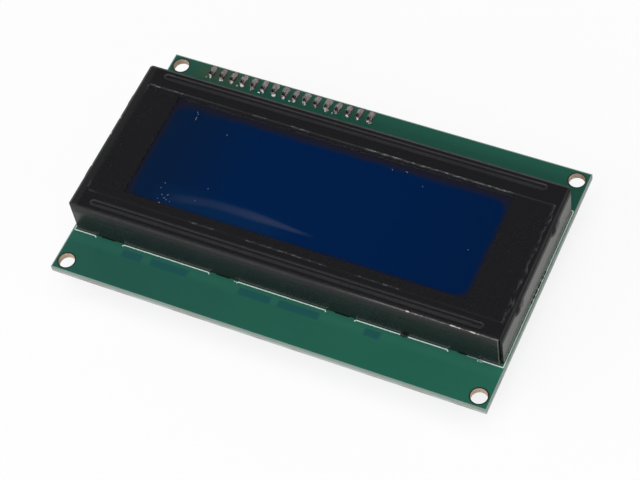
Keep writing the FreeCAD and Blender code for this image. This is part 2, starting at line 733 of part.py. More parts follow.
def make_passive(kind, index, count, row_side):
    """Chip resistor or capacitor with a metal cap at each end, one of a row centred on the board."""
    place_x = f"({index - (count - 1) / 2} * Sizes.passive_pitch)"
    row_y = f"({row_side} * Sizes.passive_row)"
    body = new_body(f"{kind}_{index + 1}", place_x, row_y, Formulas.rear_face)
    body.Placement.Rotation = FreeCAD.Rotation(FreeCAD.Vector(1, 0, 0), 180)
    core = new_sketch(body, "core_outline")
    core_width = "(Sizes.passive_width - 2 * Sizes.passive_cap_rise)"
    rectangle(core, "(Sizes.passive_length - Sizes.passive_cap)", core_width)
    pad(body, core, "Sizes.passive_height - Sizes.passive_cap_rise")
    caps = new_sketch(body, "cap_outlines")
    for side in (-1, 1):
        x = f"({side} * (Sizes.passive_length - Sizes.passive_cap) / 2)"
        rectangle(caps, "Sizes.passive_cap", "Sizes.passive_width", x)
    pad(body, caps, "Sizes.passive_height")
    return body


def make_pieces():
    """Every piece of the module, in the order it would be stacked."""
    pieces = [make_circuit_board(), make_backlight_frame(), make_backlight_board()]
    pieces += make_backlight_leds() + make_backlight_leads() + make_light_sheets()
    pieces += [make_rear_polarizer(), make_rear_glass(), make_glass_seal(), make_front_glass()]
    pieces += [make_front_polarizer()] + make_elastomers()
    pieces += [make_bezel(), make_protective_film(), make_header_strip()]
    pieces += [make_header_pin(index) for index in range(HEADER_WAYS)]
    pieces += [make_solder_joint(index) for index in range(HEADER_WAYS)]
    pieces += [make_chip(index) for index in range(DRIVER_CHIPS)]
    pieces += [make_passive("resistor", index, RESISTORS, -1) for index in range(RESISTORS)]
    pieces += [make_passive("capacitor", index, CAPACITORS, 1) for index in range(CAPACITORS)]
    return pieces


def check_document(pieces):
    """Stops where an object failed or a piece isn't one sound solid."""
    for item in doc.Objects:
        if {"Invalid", "Error"} & set(item.State):
            raise RuntimeError(f"{item.Name} failed: {item.State}")
    for piece in pieces:
        shape = piece.Shape
        if shape.isNull() or not shape.isValid() or len(shape.Solids) != 1:
            raise RuntimeError(f"{piece.Label} isn't one valid solid")


def write_pieces(pieces):
    """Writes each piece to its own file."""
    os.makedirs("parts", exist_ok=True)
    for piece in pieces:
        piece.Shape.exportStep(f"parts/{piece.Label}.step")


fill_sheet()
module_pieces = make_pieces()
doc.recompute()
check_document(module_pieces)
write_pieces(module_pieces)
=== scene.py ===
"""Looks of a character LCD module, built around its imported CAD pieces.

Meshes are made in the row's frame, in metres: the origin is the middle of the mounting holes on
the board's front face, +X runs along the board, +Y towards the header and +Z out of the display.
Sizes in this file are written in millimetres and turned to metres where a mesh is made.
"""

import logging
import math
import random
from dataclasses import astuple, dataclass, fields, replace
from enum import Enum
from functools import partialmethod, reduce
from operator import or_
from typing import Dict, Optional, Sequence, Tuple, Union

import bmesh
import bpy
from bpy.types import Material, Mesh, Object
from mathutils import Matrix, Vector


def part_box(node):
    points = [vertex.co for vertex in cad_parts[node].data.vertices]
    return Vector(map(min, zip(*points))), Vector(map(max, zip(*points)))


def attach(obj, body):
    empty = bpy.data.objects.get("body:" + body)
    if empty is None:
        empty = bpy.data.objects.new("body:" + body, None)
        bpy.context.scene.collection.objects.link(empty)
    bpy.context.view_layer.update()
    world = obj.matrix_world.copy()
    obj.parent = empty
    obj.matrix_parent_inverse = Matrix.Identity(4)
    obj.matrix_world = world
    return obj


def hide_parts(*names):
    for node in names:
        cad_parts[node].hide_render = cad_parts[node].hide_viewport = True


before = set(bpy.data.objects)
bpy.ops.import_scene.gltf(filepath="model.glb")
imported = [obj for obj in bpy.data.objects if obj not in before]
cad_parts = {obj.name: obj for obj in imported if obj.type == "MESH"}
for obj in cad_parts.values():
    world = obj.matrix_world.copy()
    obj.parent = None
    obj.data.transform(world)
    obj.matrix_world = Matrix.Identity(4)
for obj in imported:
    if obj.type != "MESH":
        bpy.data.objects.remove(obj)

LOG = logging.getLogger("lcd_module")
MM = 0.001
BODY = "root"

Colour = Tuple[float, float, float, float]
Place = Tuple[float, float]
Spans = Tuple[Place, ...]
Point = Tuple[float, float, float]

WHITE: Colour = (1.0, 1.0, 1.0, 1.0)
# Parts of a normal between which a face starts and ends to count as turned along an axis.
TURNED: Place = (0.5, 0.9)
WAYS = 16


def paint(red: int, green: int, blue: int) -> Colour:
    """A screen colour, 0 to 255 a channel, as the linear colour that shaders take."""
    shares = [level / 255 for level in (red, green, blue)]
    linear = [s / 12.92 if s <= 0.04045 else ((s + 0.055) / 1.055) ** 2.4 for s in shares]
    return (*linear, 1.0)


def node_box(node: str) -> Tuple[Vector, Vector, Vector]:
    """Lowest corner, highest corner and middle of a CAD node, in millimetres."""
    low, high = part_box(node)
    return low / MM, high / MM, (low + high) / (2 * MM)


class Wire:
    """A node's output that Python's operators can work on."""

    def __init__(self, graph: "Graph", socket: bpy.types.NodeSocket) -> None:
        """Keeps the socket and the graph that it belongs to."""
        self.graph = graph
        self.socket = socket

    def math(self, operation: str, *others: "Number") -> "Wire":
        """The socket's value worked on by one Math node.

        Args:
            operation: name of the Math node's operation.
            others: further operands, wires or numbers.

        Returns:
            The result as a wire.
        """
        operands = dict(enumerate((self,) + others))
        return self.graph.node("ShaderNodeMath", operands, operation=operation)

    def __rsub__(self, other: "Number") -> "Wire":
        """Difference from a number on the left."""
        return self.graph.node("ShaderNodeMath", {0: other, 1: self}, operation="SUBTRACT")

    __add__ = __radd__ = partialmethod(math, "ADD")
    __sub__ = partialmethod(math, "SUBTRACT")
    __mul__ = __rmul__ = partialmethod(math, "MULTIPLY")
    __truediv__ = partialmethod(math, "DIVIDE")
    __pow__ = partialmethod(math, "POWER")
    __abs__ = partialmethod(math, "ABSOLUTE")
    __neg__ = partialmethod(math, "MULTIPLY", -1.0)
    __or__ = partialmethod(math, "MAXIMUM")

    def ease(self, low: float, high: float) -> "Wire":
        """A smooth step from 0 at low to 1 at high, or the other way where low is the greater."""
        if low > high:
            return 1.0 - self.ease(high, low)
        sockets = {"Value": self, 1: low, 2: high}
        return self.graph.node("ShaderNodeMapRange", sockets, interpolation_type="SMOOTHSTEP")

    def within(self, low: float, high: float, soft: float) -> "Wire":
        """1 between two values and 0 outside them, with soft ends."""
        return self.ease(low - soft, low + soft) * self.ease(high + soft, high - soft)

    def within_any(self, spans: Spans, soft: float) -> "Wire":
        """1 within any of several spans and 0 outside them, with soft ends."""
        return reduce(or_, [self.within(*span, soft) for span in spans])


Number = Union[Wire, float, int]
Sockets = Dict[str, Wire]


class Graph:
    """Adds nodes to one tree, for a material or for geometry."""

    def __init__(self, tree: bpy.types.NodeTree) -> None:
        """Empties the tree and keeps it."""
        self.tree = tree
        tree.nodes.clear()

    def node(
        self,
        kind: str,
        inputs: Optional[Dict[Union[int, str], object]] = None,
        output: Union[int, str] = 0,
        **settings: object,
    ) -> Wire:
        """Adds a node of any kind.

        Args:
            kind: the node's type.
            inputs: a value or a wire for each named or numbered socket.
            output: which output to hand back.
            settings: the node's properties, which are set before its inputs.

        Returns:
            The chosen output as a wire.
        """
        made = self.tree.nodes.new(kind)
        for name, value in settings.items():
            setattr(made, name, value)
        for key, value in (inputs or {}).items():
            if isinstance(value, Wire):
                self.tree.links.new(value.socket, made.inputs[key])
            else:
                made.inputs[key].default_value = value
        return Wire(self, made.outputs[output] if len(made.outputs) else made.inputs[0])

    def sibling(self, wire: Wire, output: Union[int, str]) -> Wire:
        """Another output of the node that a wire comes from."""
        return Wire(self, wire.socket.node.outputs[output])

    def split(self, vector: Wire) -> Tuple[Wire, Wire, Wire]:
        """The three parts of a vector."""
        first = self.node("ShaderNodeSeparateXYZ", {0: vector})
        return first, self.sibling(first, 1), self.sibling(first, 2)

    def join(self, x: Number, y: Number, z: Number) -> Wire:
        """A vector from its three parts."""
        return self.node("ShaderNodeCombineXYZ", {0: x, 1: y, 2: z})

    def blend(self, share: Number, first: object, second: object) -> Wire:
        """A colour between two colours."""
        return self.node("ShaderNodeMix", {0: share, 6: first, 7: second}, 2, data_type="RGBA")

    def layered(self, base: object, *coats: Tuple[Number, object]) -> Wire:
        """A base colour under coats, each a share and the colour that covers what is below it."""
        return reduce(lambda below, coat: self.blend(coat[0], below, coat[1]), coats, base)


class MaterialGraph(Graph):
    """Nodes of one material, whose patterns are laid out in millimetres."""

    def place(self) -> Tuple[Wire, Wire, Wire]:
        """Where the surface point is in the row's frame, in millimetres."""
        metres = self.node("ShaderNodeTexCoord", output="Object")
        scaled = self.node("ShaderNodeVectorMath", {0: metres, "Scale": 1 / MM}, operation="SCALE")
        return self.split(scaled)

    def facing(self) -> Tuple[Wire, Wire, Wire]:
        """The parts of the surface's own normal."""
        return self.split(self.node("ShaderNodeNewGeometry", output="Normal"))

    def _cells(self, size: float, seed: float, stretch: Point = (1, 1, 1)) -> Wire:
        """The surface point counted in cells of a size in millimetres, moved by a seed."""
        metres = self.node("ShaderNodeTexCoord", output="Object")
        scale = tuple(1 / (MM * size * part) for part in stretch)
        sockets = {0: metres, 1: (seed, seed, seed), 3: scale}
        return self.node("ShaderNodeMapping", sockets, vector_type="POINT")

    def cloud(self, grain: float, detail: int, stretch: Point = (1, 1, 1), seed: float = 0) -> Wire:
        """Noise from 0 to 1.

        Args:
            grain: size of its lumps in millimetres.
            detail: how many finer layers it has.
            stretch: how much longer its lumps are along each axis.
            seed: a different number gives a different pattern.

        Returns:
            The noise as a wire.
        """
        sockets = {"Vector": self._cells(grain, seed, stretch), "Scale": 1.0, "Detail": detail}
        return self.node("ShaderNodeTexNoise", sockets)

    def specks(self, spacing: float, size: float, seed: float) -> Wire:
        """Small round specks, one to a cell of the given spacing, as a mask."""
        sockets = {"Vector": self._cells(spacing, seed), "Scale": 1.0}
        near = self.node("ShaderNodeTexVoronoi", sockets, feature="F1")
        return near.ease(size / spacing, size / spacing / 2)

    def bump(self, height: Wire, depth: float, strength: float = 1.0) -> Wire:
        """A normal for a relief of a height in millimetres."""
        sockets = {"Height": height, "Distance": depth * MM, "Strength": strength}
        return self.node("ShaderNodeBump", sockets)


@dataclass(frozen=True)
class Finish:
    """A surface finish: a shader with constant values and, in each kind, its own pattern."""

    name: str
    colour: Colour
    roughness: float = 0.5
    metallic: float = 0.0
    specular: float = 0.5

    def pattern(self, graph: MaterialGraph) -> Sockets:
        """The shader sockets that change over the surface.

        Args:
            graph: the material's nodes.

        Returns:
            A wire for each named socket of the shader.
        """
        grain = graph.cloud(0.8, 3)
        return {
            "Base Color": graph.blend(grain * 0.25, self.colour, paint(0, 0, 0)),
            "Roughness": self.roughness + (grain - 0.5) * 0.15,
            "Normal": graph.bump(grain, 0.01),
        }

    def material(self) -> Material:
        """The finished material, made once and kept under its name."""
        title = f"{self.name}_finish"
        known = bpy.data.materials.get(title)
        if known is not None:
            return known
        made = bpy.data.materials.new(title)
        made.use_nodes = True
        graph = MaterialGraph(made.node_tree)
        sockets = {
            "Base Color": self.colour,
            "Roughness": self.roughness,
            "Metallic": self.metallic,
            "Specular IOR Level": self.specular,
            **self.pattern(graph),
        }
        shader = graph.node("ShaderNodeBsdfPrincipled", sockets)
        graph.node("ShaderNodeOutputMaterial", {"Surface": shader})
        return made


@dataclass(frozen=True)
class LaminateFinish(Finish):
    """Green solder mask over glass laminate, with bare edges, bare hole rims and tinned pads."""

    # Painted light: the mask lighter towards the right of the board.
    right_colour: Colour = paint(37, 99, 81)
    # Painted shade: the mask darker behind the bezel, easing off towards the board's rear edge.
    bezel_shade_colour: Colour = paint(31, 81, 67)
    lit_colour: Colour = paint(50, 112, 94)
    under_colour: Colour = paint(26, 76, 82)
    edge_colour: Colour = paint(150, 168, 162)
    edge_layer: Colour = paint(120, 134, 124)
    edge_foot: Colour = paint(186, 188, 184)
    edge_stain: Colour = paint(150, 140, 140)
    core_colour: Colour = paint(198, 178, 156)
    ring_colour: Colour = paint(40, 42, 36)
    pad_colour: Colour = paint(128, 122, 120)
    flux_colour: Colour = paint(86, 84, 48)
    mottle_colour: Colour = paint(20, 60, 50)
    hole: Place = (46.5, 27.5)
    hole_radius: float = 1.75
    ring_radius: float = 2.02
    header: Place = (-39.0, 27.5)
    pitch: float = 2.54
    pad_half_width: float = 0.8
    pad_rows: Place = (26.9, 29.85)
    flux_columns: Place = (-42.0, -31.0)
    flux_rows: Place = (25.9, 29.5)
    board_half: Place = (49.0, 30.0)
    pull_back: float = 0.19
    plates: Spans = ((-36.2, -31.5), (-29.5, -20.8), (-9.0, -1.7), (0.0, 9.2), (19.3, 22.8))
    plate_rows: Place = (-22.6, -20.9)
    weave_turns: float = 4.2

    def pattern(self, graph: MaterialGraph) -> Sockets:
        """Mask colour that drifts over the board, with painted light towards the right and just in
        front of the bezel, painted shade behind the bezel, and its edges, rings, pads and flux
        stains.
        """
        x, y, z = graph.place()
        flat = abs(graph.facing()[2]).ease(0.5, 0.7)
        front = z.ease(-1.0, -0.5)
        # Painted shade of the bezel on the board behind it, weaker towards the board's rear edge.
        bezel_back_shade = y.ease(16, 24) * (1.0 - y.ease(26.3, 29) * 0.45)
        mottle = (graph.cloud(22, 3) - 0.5) * 0.35 + graph.cloud(1.4, 3) * 0.12
        # Painted light: the mask lighter just in front of the bezel's front wall.
        lit_before_bezel = y.ease(-23.4, -21.2) * y.ease(-18, -19) * front
        plates = x.within_any(self.plates, 0.25) * y.within(*self.plate_rows, 0.25) * front
        flux = x.within(*self.flux_columns, 2.5) * y.within(*self.flux_rows, 0.8)
        flux = flux * graph.cloud(1.1, 3)

        way = (x - self.header[0]) / self.pitch
        off = abs(way - way.math("ROUND")) * self.pitch
        pads = way.within(-0.4, WAYS - 0.6, 0.05) * y.within(*self.pad_rows, 0.06) * front
        pads = pads * off.ease(self.pad_half_width + 0.06, self.pad_half_width)

        reach_x, reach_y = abs(x) - self.hole[0], abs(y) - self.hole[1]
        from_hole = (reach_x * reach_x + reach_y * reach_y).math("SQRT")
        inside_x, inside_y = self.board_half[0] - abs(x), self.board_half[1] - abs(y)
        rim = inside_x.math("MINIMUM", inside_y).ease(self.pull_back + 0.03, self.pull_back)
        tone = graph.layered(
            self.colour,
            # painted light towards the right
            (x.ease(-45, 40), self.right_colour),
            (bezel_back_shade, self.bezel_shade_colour),
            (mottle, self.mottle_colour),
            (lit_before_bezel * 0.35, self.lit_colour),
            (plates * 0.7, self.under_colour),
            (flux * 0.5 * front, self.flux_colour),
            (pads, self.pad_colour),
            (from_hole.ease(self.ring_radius + 0.05, self.ring_radius - 0.03), self.ring_colour),
            (rim * 0.8, self.edge_colour),
        )
        stain = graph.cloud(6, 3).ease(0.45, 0.65) * z.ease(-0.5, -1.3)
        side = graph.layered(
            self.edge_colour,
            (graph.cloud(0.35, 2, (12, 12, 0.5)), self.edge_layer),
            (z.ease(-0.4, -1.3) * 0.75, self.edge_foot),
            (stain * 0.8, self.edge_stain),
            (from_hole.ease(self.hole_radius + 0.2, self.hole_radius + 0.1), self.core_colour),
        )
        weave = (x * self.weave_turns).math("SINE") * (y * self.weave_turns).math("SINE")
        return {
            "Base Color": graph.blend(flat, side, tone),
            "Roughness": 0.75 - flat * (0.4 - pads * 0.05) + graph.cloud(3, 2) * 0.08,
            "Metallic": pads * flat * 0.8,
            "Normal": graph.bump(weave * 0.4 + graph.cloud(0.3, 2), 0.012, 0.5),
        }


@dataclass(frozen=True)
class BlackPaintFinish(Finish):
    """Semi-gloss black paint over steel, rubbed through in places along its front bend."""

    # Also paints a thin highlight line along the front bend: painted highlight.
    steel: Colour = paint(205, 202, 198)
    # Colour of dusty specks and of the painted sheen along the beads' feet.
    dust_and_sheen: Colour = paint(190, 190, 185)
    patch_colour: Colour = paint(24, 24, 26)
    # Painted sheen: lighter paint at the face's left end and up the front wall, standing in for
    # reflected light.
    sheen_colour: Colour = paint(40, 40, 41)
    # Painted light: the window's inner walls lighter than the paint.
    edge_colour: Colour = paint(42, 42, 46)
    shaded_colour: Colour = paint(18, 18, 19)
    # Painted reflection: a warm tint over the lower right-hand wall.
    right_wall_reflection_tint: Colour = paint(30, 32, 14)
    # Painted reflection: the foot of the right-hand wall much lighter.
    right_wall_foot_sheen: Colour = paint(84, 85, 80)
    front: float = -19.65
    left: float = -48.4
    top: float = 9.4
    bend: float = 0.9
    window: Place = (39.5, 14.5)
    sheen_end: Place = (-45.9, -46.9)
    rubbed: Spans = ((27.7, 29.3), (29.8, 30.8), (37.2, 40.1), (41.3, 44.1), (47.3, 47.9))
    chipped: Spans = ((3.9, 4.7), (-0.5, 0.2), (-9.1, -8.6))
    cut_edge: Place = (47.6, 47.74)
    shoulder: float = 6.9
    shoulder_end: float = 9.1
    shoulder_radius: float = 2.2
    bump_place: Place = (10.0, 7.5)
    bead_middle: float = 17.45
    bead_foot: float = 0.62
    bead_end: float = 42.0

    def pattern(self, graph: MaterialGraph) -> Sockets:
        """Paint with a fine skin, dusty specks, painted sheen along the beads, bare steel on the
        front bend with a painted highlight line, painted light and shade on the walls and soft
        shoulders.
        """
        x, y, z = graph.place()
        facing_x, facing_y, facing_z = graph.facing()
        on_right, on_front = facing_x.ease(*TURNED), (-facing_y).ease(*TURNED)
        patches = graph.cloud(9, 3)

        drop = self.top - z
        ridge = self._ridge(graph, y - self.front, drop, 1.7)
        front = ridge + x.within_any(self.rubbed, 0.6)
        left = self._ridge(graph, x - self.left, drop, 0.9) + y.within_any(self.chipped, 0.3) * 1.2
        bare = (front | left).ease(0.95, 1.3)
        # Painted highlight: a faint light line along the front bend's ridge.
        thin = ridge.ease(-0.1, 0.2) * x.ease(8, 26) * 0.16
        cut = x.within(*self.cut_edge, 0.05) * on_front

        half_x, half_y = self.window
        # The window's inner walls get painted light; those facing right get painted shade instead.
        inner = abs(facing_z).ease(0.5, 0.3) * z.ease(8.6, 8.8)
        inner = inner * abs(x).ease(half_x + 0.2, half_x) * abs(y).ease(half_y + 0.2, half_y)
        shaded = inner * on_right
        from_bead = abs(abs(abs(y) - self.bead_middle) - self.bead_foot)
        near_bead = from_bead.ease(0.4, 0.1) * z.ease(9.3, 9.38)
        near_bead = near_bead * abs(x).ease(self.bead_end, self.bead_end - 1)
        # Painted highlight: faint light lines along the beads' feet.
        bead_sheen = near_bead * graph.cloud(5, 3) * 0.02
        dust_and_sheen = graph.specks(2.6, 0.09, 3.1) * facing_z.ease(*TURNED) * 0.12
        tone = graph.layered(
            self.colour,
            (patches * 0.5, self.patch_colour),
            (dust_and_sheen | bead_sheen, self.dust_and_sheen),
            # painted sheen at the face's left end
            (x.ease(*self.sheen_end), self.sheen_colour),
            # painted light on the window's inner walls
            (inner, self.edge_colour),
            (shaded, self.shaded_colour),
            # painted reflection tint on the right-hand wall
            (on_right * z.ease(7.6, 6.4), self.right_wall_reflection_tint),
            # painted reflection at the right-hand wall's foot
            (on_right * z.ease(1.9, 0.7), self.right_wall_foot_sheen),
            # painted reflection: the front wall lighter towards its top
            (on_front * z.ease(2.5, 6) * 0.7, self.sheen_colour),
            (bare | thin | cut * 0.22, self.steel),
        )

        bend = facing_z.within(0.2, 0.92, 0.06) * z.ease(8.3, 8.6)
        uneven = graph.cloud(2.2, 3, (0.5, 1, 1))
        duller = (bend | on_front * z.ease(6.0, 8.0)) * (0.1 + uneven * 0.5)
        worn = (patches - 0.5) * 0.12 + shaded * 0.5 + near_bead * 0.3
        skin = graph.cloud(0.45, 2)
        relief = self._roll(z, facing_x) + self._dent(y, z) + uneven * bend * 0.04 + skin * 0.001
        return {
            "Base Color": tone,
            "Metallic": bare * 0.3,
            "Roughness": self.roughness + worn + skin * 0.05 + duller,
            "Normal": graph.bump(relief, 1.0),
        }

    def _roll(self, z: Wire, facing_x: Wire) -> Wire:
        """Relief that rolls the top of the short walls over, up to the bumps' upper edge."""
        reach = (z.math("MINIMUM", self.shoulder_end) - self.shoulder) | 0.0
        fall = (self.shoulder_end - self.shoulder) ** 2
        return (fall - reach * reach) / (2 * self.shoulder_radius) * abs(facing_x).ease(0.5, 0.72)

    def _dent(self, y: Wire, z: Wire) -> Wire:
        """Relief that takes down the rear half of each bump on the short walls."""
        along = y - y.math("SIGN") * self.bump_place[0]
        half = along.ease(-0.5, 0.4) * along.ease(2.3, 1.2)
        return half * abs(z - self.bump_place[1]).ease(1.25, 0.0) * -1.0

    def _ridge(self, graph: MaterialGraph, inward: Wire, drop: Wire, keen: float) -> Wire:
        """How close a point is to the ridge of a bend, with a ragged edge.

        Args:
            graph: the material's nodes.
            inward: distance from the wall's outer face, in millimetres.
            drop: distance below the front face, in millimetres.
            keen: how fast it falls beside the ridge.

        Returns:
            Up to about 0.4 on the ridge, and below 0 a hair's breadth from it.
        """
        ragged = graph.cloud(0.6, 3, seed=7.3) * 0.9 - 0.14
        on_bend = (inward + drop).ease(self.bend, self.bend - 0.1)
        return (ragged - abs(inward - drop) * keen) * on_bend - (1.0 - on_bend)


@dataclass(frozen=True)
class DisplayFinish(Finish):
    """Blue display behind its polarizer: even navy, greyer on the left, with a dark far border that
    is partly its own and partly painted shade under the bezel.
    """

    left_colour: Colour = paint(10, 30, 59)
    right_colour: Colour = paint(1, 28, 67)
    # Partly the display's border and partly painted shade under the bezel.
    border_and_shade_colour: Colour = paint(29, 30, 43)
    pale_patch_colour: Colour = paint(12, 42, 76)
    drift_colour: Colour = paint(0, 22, 50)
    pale_patch_span: Place = (-31.0, -4.0)
    middle: Place = (0.15, -0.4)
    lit_half: Place = (34.8, 9.3)
    fade: Place = (2.0, 3.8)

    def pattern(self, graph: MaterialGraph) -> Sockets:
        """Colour that changes from left to right, with a darker border round the lit area, seen
        most at the far side: partly the display's own border, partly painted shade under the
        bezel's overhang.
        """
        x, y, _ = graph.place()
        # A paler patch towards the lower left of the display.
        pale_patch = y.ease(-6, -11) * x.within(*self.pale_patch_span, 5)
        past_x = (abs(x - self.middle[0]) - self.lit_half[0]) | 0.0
        past_y = (abs(y - self.middle[1]) - self.lit_half[1]) | 0.0
        past = (past_x * past_x + past_y * past_y).math("SQRT") + (graph.cloud(4, 2) - 0.5) * 0.9
        tone = graph.layered(
            self.colour,
            (x.ease(-12, -38), self.left_colour),
            (x.ease(10, 38) * 0.8, self.right_colour),
            (graph.cloud(14, 3) * 0.12, self.drift_colour),
            (pale_patch * 0.5, self.pale_patch_colour),
            # painted shade under the bezel, with the display's own border
            (past.ease(*self.fade), self.border_and_shade_colour),
        )
        return {"Base Color": tone, "Roughness": self.roughness + graph.cloud(6, 2) * 0.05}


@dataclass(frozen=True)
class FilmFinish(Finish):
    """Clear plastic film: nothing shows of it but painted highlights at its rim, glints and
    crumpled edge, and a painted reflection streak.
    """

    # Colour of the painted reflection streak.
    streak_colour: Colour = paint(200, 165, 205)
    rim_attribute: str = "rim"
    rim_highlight: float = 0.05
    back_glints: Spans = ((-46, -43.4), (-41.5, -38), (-21, -18), (-12, -8), (5, 38))
    front_glints: Spans = ((-22.0, -16.0), (-9.0, 9.0), (16.0, 25.0))
    crumpled: Place = (46.3, 47.3)
    streak_middle: float = -9.3
    streak_half: float = 1.1
    streak_depth: float = 0.0105
    streak_span: Place = (-27.0, 1.5)

    def pattern(self, graph: MaterialGraph) -> Sockets:
        """Opacity near nothing on the sheet, and more where highlights and a reflection are
        painted: at the rim, the glints, the crumpled edge and the streak.
        """
        x, y, _ = graph.place()
        rim = graph.node("ShaderNodeAttribute", output="Fac", attribute_name=self.rim_attribute)
        # Painted highlights: glints along the back and front rims.
        back = x.within_any(self.back_glints, 0.4) * y.ease(12, 13.5)
        front = x.within_any(self.front_glints, 0.4) * y.ease(-12, -13)
        broken = graph.cloud(0.5, 3, (2.5, 1, 1), 2.0).ease(0.48, 0.62)
        glint = (back | front * 0.45) * (0.02 + broken * 0.14)
        corner = x.ease(-43, -45) * y.ease(-12, -13.5)
        # Painted highlight: a faint light line along the rim, stronger at the back and the front
        # left corner.
        faint = graph.cloud(6, 2) * self.rim_highlight * (0.2 + (y.ease(13.5, 14.3) | corner) * 0.8)
        # Painted highlights on the crumpled right-hand edge.
        crumple = x.ease(*self.crumpled) * graph.cloud(1.6, 3, (0.4, 1, 1)).ease(0.42, 0.66) * 0.026

        # Painted reflection: a pale violet streak across the film's lower left.
        bow = x.ease(-17, -31) * 1.6 + x.ease(-12, 6) * 0.5
        taper = 1.0 - x.ease(-12, 3) * 0.6
        off = abs(y - self.streak_middle + bow) / taper
        lit = off.ease(self.streak_half * 1.3, self.streak_half * 0.3)
        lit = lit * x.within(*self.streak_span, 3.5) * (0.5 + x.ease(-22, -5) * 0.7)
        streak = lit * self.streak_depth
        return {
            "Base Color": graph.blend(streak * 20, self.colour, self.streak_colour),
            "Alpha": rim * (faint + glint) + crumple + streak,
            "Roughness": self.roughness + graph.cloud(2, 2) * 0.1,
            "Normal": graph.bump(graph.cloud(2.2, 3), 0.05, 0.5),
        }


@dataclass(frozen=True)
class SolderFinish(Finish):
    """Dull tin and lead solder with grainy, tarnished patches."""

    tarnish: Colour = paint(108, 100, 98)
    # Painted highlight: bright solder at the front foot of each joint.
    foot_glint: Colour = paint(236, 234, 234)
    glint_from: Place = (27.3, 26.7)

    def pattern(self, graph: MaterialGraph) -> Sockets:
        """Patches of tarnish, a frosted skin and a painted highlight of bright metal at each
        joint's front foot.
        """
        _, y, _ = graph.place()
        patches = graph.cloud(0.7, 3)
        frost = graph.cloud(0.12, 3)
        foot_glint = y.ease(*self.glint_from) * graph.cloud(0.5, 2, seed=4.0).ease(0.45, 0.6)
        tone = graph.blend(patches.ease(0.35, 0.75), self.colour, self.tarnish)
        return {
            "Base Color": graph.blend(foot_glint, tone, self.foot_glint),
            "Metallic": self.metallic * (1.0 - foot_glint * 0.6),
            "Roughness": self.roughness + (frost - 0.5) * 0.3,
            "Normal": graph.bump(frost + patches, 0.03, 0.8),
        }


@dataclass(frozen=True)
class PinFinish(Finish):
    """Gilt pin whose end above the board is wetted with solder."""

    wetted: Colour = paint(120, 112, 110)
    wet_from: float = -0.3

    def pattern(self, graph: MaterialGraph) -> Sockets:
        """Gold below the board, solder above it."""
        _, _, z = graph.place()
        wet = z.ease(self.wet_from, self.wet_from + 0.2)
        grain = graph.cloud(0.3, 2)
        return {
            "Base Color": graph.blend(wet, self.colour, self.wetted),
            "Roughness": self.roughness + grain * 0.1 + wet * 0.1,
            "Normal": graph.bump(grain, 0.01),
        }


@dataclass(frozen=True)
class InkFinish(Finish):
    """White marking ink with a slightly broken edge and thin spots."""

    under: Colour = paint(70, 110, 98)

    def pattern(self, graph: MaterialGraph) -> Sockets:
        """Thin spots where the board shows through the ink."""
        thin = graph.cloud(0.5, 3).ease(0.55, 0.8)
        return {
            "Base Color": graph.blend(thin * 0.6, self.colour, self.under),
            "Roughness": self.roughness + thin * 0.1,
        }


@dataclass(frozen=True)
class ChipPartFinish(Finish):
    """Chip resistor or capacitor: a ceramic middle between two tinned ends."""

    middle: float = 0.0
    half_core: float = 0.7
    ends: Colour = paint(196, 194, 190)

    def pattern(self, graph: MaterialGraph) -> Sockets:
        """Ceramic in the middle and tinned metal from where the caps start."""
        x, _, _ = graph.place()
        cap = abs(x - self.middle).ease(self.half_core - 0.1, self.half_core - 0.04)
        grain = graph.cloud(0.2, 3)
        core = graph.blend(grain * 0.3, self.colour, paint(0, 0, 0))
        return {
            "Base Color": graph.blend(cap, core, self.ends),
            "Metallic": cap * 0.9,
            "Roughness": self.roughness + grain * 0.15,
            "Normal": graph.bump(grain, 0.01),
        }


@dataclass(frozen=True)
class StripedRubberFinish(Finish):
    """Grey rubber with the fine dark stripes that carry the contacts."""

    stripe: Colour = paint(18, 18, 20)
    pitch: float = 0.18

    def pattern(self, graph: MaterialGraph) -> Sockets:
        """Stripes across the strip's length."""
        x, _, _ = graph.place()
        wave = (x * (2 * math.pi / self.pitch)).math("SINE")
        return {"Base Color": graph.blend(wave.ease(-0.2, 0.2), self.colour, self.stripe)}


class Finishes(Enum):
    """Every finish of the module."""

    LAMINATE = LaminateFinish("solder_mask", paint(37, 89, 76), 0.35)
    BLACK_PAINT = BlackPaintFinish("black_paint", paint(30, 30, 32), 0.24, specular=0.6)
    DISPLAY = DisplayFinish("polarizer", paint(1, 31, 73), 0.12)
    FILM = FilmFinish("clear_film", paint(235, 238, 245), 0.12)
    # Opaque light grey marks for the glints of creases in the clear film: painted highlights.
    CREASE = Finish("crease", paint(104, 120, 146), 0.4)
    SOLDER = SolderFinish("solder", paint(148, 142, 140), 0.5, 0.1)
    PIN = PinFinish("pin_metal", paint(214, 184, 110), 0.28, 1.0)
    INK = InkFinish("marking_ink", paint(215, 228, 222), 0.6)
    THIN_INK = InkFinish("thin_ink", paint(140, 166, 156), 0.6)
    STRIP = Finish("black_moulding", paint(20, 20, 21), 0.5)
    EPOXY = Finish("epoxy", paint(16, 16, 17), 0.3)
    GLASS = Finish("display_glass", paint(176, 196, 196), 0.1)
    SEAL = Finish("seal_resin", paint(150, 150, 140), 0.6)
    SHEET = Finish("white_sheet", paint(236, 236, 236), 0.7)
    GUIDE = Finish("clear_acrylic", paint(222, 232, 236), 0.15)
    TRAY = Finish("white_moulding", paint(232, 232, 226), 0.5)
    LED_BOARD = Finish("white_laminate", paint(222, 222, 214), 0.55)
    LED = Finish("led_package", paint(232, 214, 140), 0.45)
    LEAD = Finish("tinned_wire", paint(196, 194, 190), 0.3, 1.0)
    RUBBER = StripedRubberFinish("striped_rubber", paint(118, 118, 120), 0.8)


def coat(mesh: Mesh, finish: Finish) -> None:
    """Gives a mesh one finish."""
    mesh.materials.clear()
    mesh.materials.append(finish.material())


